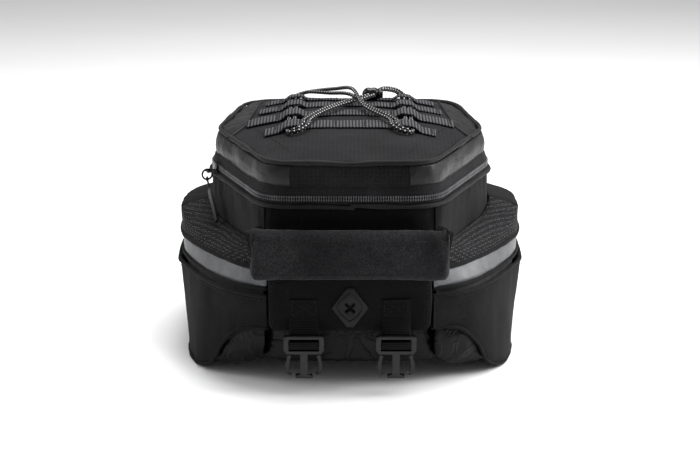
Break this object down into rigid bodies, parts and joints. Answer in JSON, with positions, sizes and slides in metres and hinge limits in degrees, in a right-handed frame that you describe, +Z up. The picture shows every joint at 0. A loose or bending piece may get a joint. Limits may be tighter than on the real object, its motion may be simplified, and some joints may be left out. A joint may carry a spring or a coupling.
{
  "type": "motorcycle tail bag",
  "caption": "Soft tail bag with a domed zipped lid, padded side wings, front grab handle, bungee-laced lid and straps ending in side-release plugs.",
  "frame": {"origin": "under the middle of the bag's bounding box, on the ground the wing hems rest on", "axes": "+X to the right seen from the handle side, -Y towards the handle, +Z up"},
  "size_m": [0.323, 0.297, 0.2339],
  "materials": {
    "ripstop": "woven ripstop nylon, matt",
    "cordura": "plain-woven textured nylon, matt",
    "leatherette": "coated fabric, semi-gloss, wrinkled",
    "air_mesh": "knitted spacer mesh, open holes",
    "reflective": "grey reflective tape, satin",
    "webbing": "ribbed polyester webbing",
    "binding": "woven binding tape",
    "piping": "fabric-covered piping cord",
    "zip_tape": "zip tape with nylon coil",
    "foam": "closed-cell foam",
    "stiffener": "flat polyethylene board",
    "cord": "braided elastic cord with light tracer",
    "acetal": "injection-moulded, fine spark texture",
    "slider_metal": "black lacquered zinc",
    "moulded_rubber": "matt moulded rubber",
    "spring_steel": "bright wire"
  },
  "bodies": {
    "bag": {"base_board": "stiffener", "base_tray": "leatherette", "front_wall": "cordura", "rear_wall": "cordura", "left_wall": "cordura", "right_wall": "cordura", "body_piping": "piping", "lower_zip_tape": "zip_tape", "lid_hinge_strip": "cordura", "front_panel": "cordura", "lash_tab": "moulded_rubber", "strap_patches": "webbing", "left_foam_core": "foam", "left_underside": "leatherette", "left_mesh": "air_mesh", "left_top_panel": "cordura", "left_stripe": "reflective", "left_stripe_bindings": "binding", "left_side_panel": "cordura", "right_foam_core": "foam", "right_underside": "leatherette", "right_mesh": "air_mesh", "right_top_panel": "cordura", "right_stripe": "reflective", "right_stripe_bindings": "binding", "right_side_panel": "cordura"},
    "lid": {"lid_top": "ripstop", "lid_foam": "foam", "lid_band": "leatherette", "lid_piping": "piping", "upper_zip_tape": "zip_tape", "webbing_row_1": "webbing", "webbing_row_2": "webbing", "webbing_row_3": "webbing", "webbing_row_4": "webbing", "bungee": "cord", "cord_lock_barrel": "acetal", "cord_lock_spring": "spring_steel"},
    "plunger": {"cord_lock_plunger": "acetal"},
    "handle": {"handle_sleeve": "cordura", "handle_webbing": "webbing"},
    "slider": {"zip_slider": "slider_metal"},
    "slider_ring": {"slider_ring": "slider_metal"},
    "pull_tab": {"pull_tab": "moulded_rubber"},
    "front_left_plug": {"front_left_strap": "webbing", "front_left_plug": "acetal"},
    "front_left_inner_arm": {"front_left_inner_arm": "acetal"},
    "front_left_outer_arm": {"front_left_outer_arm": "acetal"},
    "front_right_plug": {"front_right_strap": "webbing", "front_right_plug": "acetal"},
    "front_right_inner_arm": {"front_right_inner_arm": "acetal"},
    "front_right_outer_arm": {"front_right_outer_arm": "acetal"},
    "rear_left_plug": {"rear_left_strap": "webbing", "rear_left_plug": "acetal"},
    "rear_left_inner_arm": {"rear_left_inner_arm": "acetal"},
    "rear_left_outer_arm": {"rear_left_outer_arm": "acetal"},
    "rear_right_plug": {"rear_right_strap": "webbing", "rear_right_plug": "acetal"},
    "rear_right_inner_arm": {"rear_right_inner_arm": "acetal"},
    "rear_right_outer_arm": {"rear_right_outer_arm": "acetal"}
  },
  "joints": [
    {"name": "lid_hinge", "type": "hinge", "parent": "bag", "child": "lid", "pos_m": [0, 0.1475, 0.168], "axis": [-1, 0, 0], "range_deg": [0, 105], "deforming": ["lid_hinge_strip"]},
    {"name": "lock_press", "type": "slide", "parent": "lid", "child": "plunger", "axis": [-1, 0, 0], "range_m": [0, 0.003], "stiffness_N_per_m": 500, "deforming": ["cord_lock_spring"]},
    {"name": "handle_lift", "type": "hinge", "parent": "bag", "child": "handle", "pos_m": [0, -0.1206, 0.1405], "axis": [-1, 0, 0], "range_deg": [0, 45]},
    {"name": "zip_slide", "type": "slide", "parent": "bag", "child": "slider", "axis": [0.3779, -0.9258, 0], "range_m": [0, 0.06]},
    {"name": "ring_swing", "type": "hinge", "parent": "slider", "child": "slider_ring", "pos_m": [-0.13036, -0.01197, 0.1645], "axis": [-0.3779, 0.9258, 0], "range_deg": [0, 30]},
    {"name": "pull_swing", "type": "hinge", "parent": "slider_ring", "child": "pull_tab", "pos_m": [-0.13036, -0.01197, 0.15705], "axis": [-0.3779, 0.9258, 0], "range_deg": [0, 30]},
    {"name": "front_left_strap_fold", "type": "hinge", "parent": "bag", "child": "front_left_plug", "pos_m": [-0.0395, -0.1321, 0.063], "axis": [-1, 0, 0], "range_deg": [0, 80]},
    {"name": "front_left_inner_squeeze", "type": "hinge", "parent": "front_left_plug", "child": "front_left_inner_arm", "pos_m": [-0.0267, -0.1423, 0.0334], "axis": [0, 1, 0], "range_deg": [0, 6], "stiffness_Nm_per_rad": 0.4},
    {"name": "front_left_outer_squeeze", "type": "hinge", "parent": "front_left_plug", "child": "front_left_outer_arm", "pos_m": [-0.0523, -0.1423, 0.0334], "axis": [0, -1, 0], "range_deg": [0, 6], "stiffness_Nm_per_rad": 0.4},
    {"name": "front_right_strap_fold", "type": "hinge", "parent": "bag", "child": "front_right_plug", "pos_m": [0.0395, -0.1321, 0.063], "axis": [-1, 0, 0], "range_deg": [0, 80]},
    {"name": "front_right_inner_squeeze", "type": "hinge", "parent": "front_right_plug", "child": "front_right_inner_arm", "pos_m": [0.0267, -0.1423, 0.0334], "axis": [0, -1, 0], "range_deg": [0, 6], "stiffness_Nm_per_rad": 0.4},
    {"name": "front_right_outer_squeeze", "type": "hinge", "parent": "front_right_plug", "child": "front_right_outer_arm", "pos_m": [0.0523, -0.1423, 0.0334], "axis": [0, 1, 0], "range_deg": [0, 6], "stiffness_Nm_per_rad": 0.4},
    {"name": "rear_left_strap_fold", "type": "hinge", "parent": "bag", "child": "rear_left_plug", "pos_m": [-0.0395, 0.1421, 0.063], "axis": [1, 0, 0], "range_deg": [0, 80]},
    {"name": "rear_left_inner_squeeze", "type": "hinge", "parent": "rear_left_plug", "child": "rear_left_inner_arm", "pos_m": [-0.0267, 0.1451, 0.0334], "axis": [0, 1, 0], "range_deg": [0, 6], "stiffness_Nm_per_rad": 0.4},
    {"name": "rear_left_outer_squeeze", "type": "hinge", "parent": "rear_left_plug", "child": "rear_left_outer_arm", "pos_m": [-0.0523, 0.1451, 0.0334], "axis": [0, -1, 0], "range_deg": [0, 6], "stiffness_Nm_per_rad": 0.4},
    {"name": "rear_right_strap_fold", "type": "hinge", "parent": "bag", "child": "rear_right_plug", "pos_m": [0.0395, 0.1421, 0.063], "axis": [1, 0, 0], "range_deg": [0, 80]},
    {"name": "rear_right_inner_squeeze", "type": "hinge", "parent": "rear_right_plug", "child": "rear_right_inner_arm", "pos_m": [0.0267, 0.1451, 0.0334], "axis": [0, -1, 0], "range_deg": [0, 6], "stiffness_Nm_per_rad": 0.4},
    {"name": "rear_right_outer_squeeze", "type": "hinge", "parent": "rear_right_plug", "child": "rear_right_outer_arm", "pos_m": [0.0523, 0.1451, 0.0334], "axis": [0, 1, 0], "range_deg": [0, 6], "stiffness_Nm_per_rad": 0.4}
  ],
  "couplings": [
    {"joint": "front_left_outer_squeeze", "follows": "front_left_inner_squeeze", "ratio": 1},
    {"joint": "front_right_outer_squeeze", "follows": "front_right_inner_squeeze", "ratio": 1},
    {"joint": "rear_left_outer_squeeze", "follows": "rear_left_inner_squeeze", "ratio": 1},
    {"joint": "rear_right_outer_squeeze", "follows": "rear_right_inner_squeeze", "ratio": 1}
  ]
}
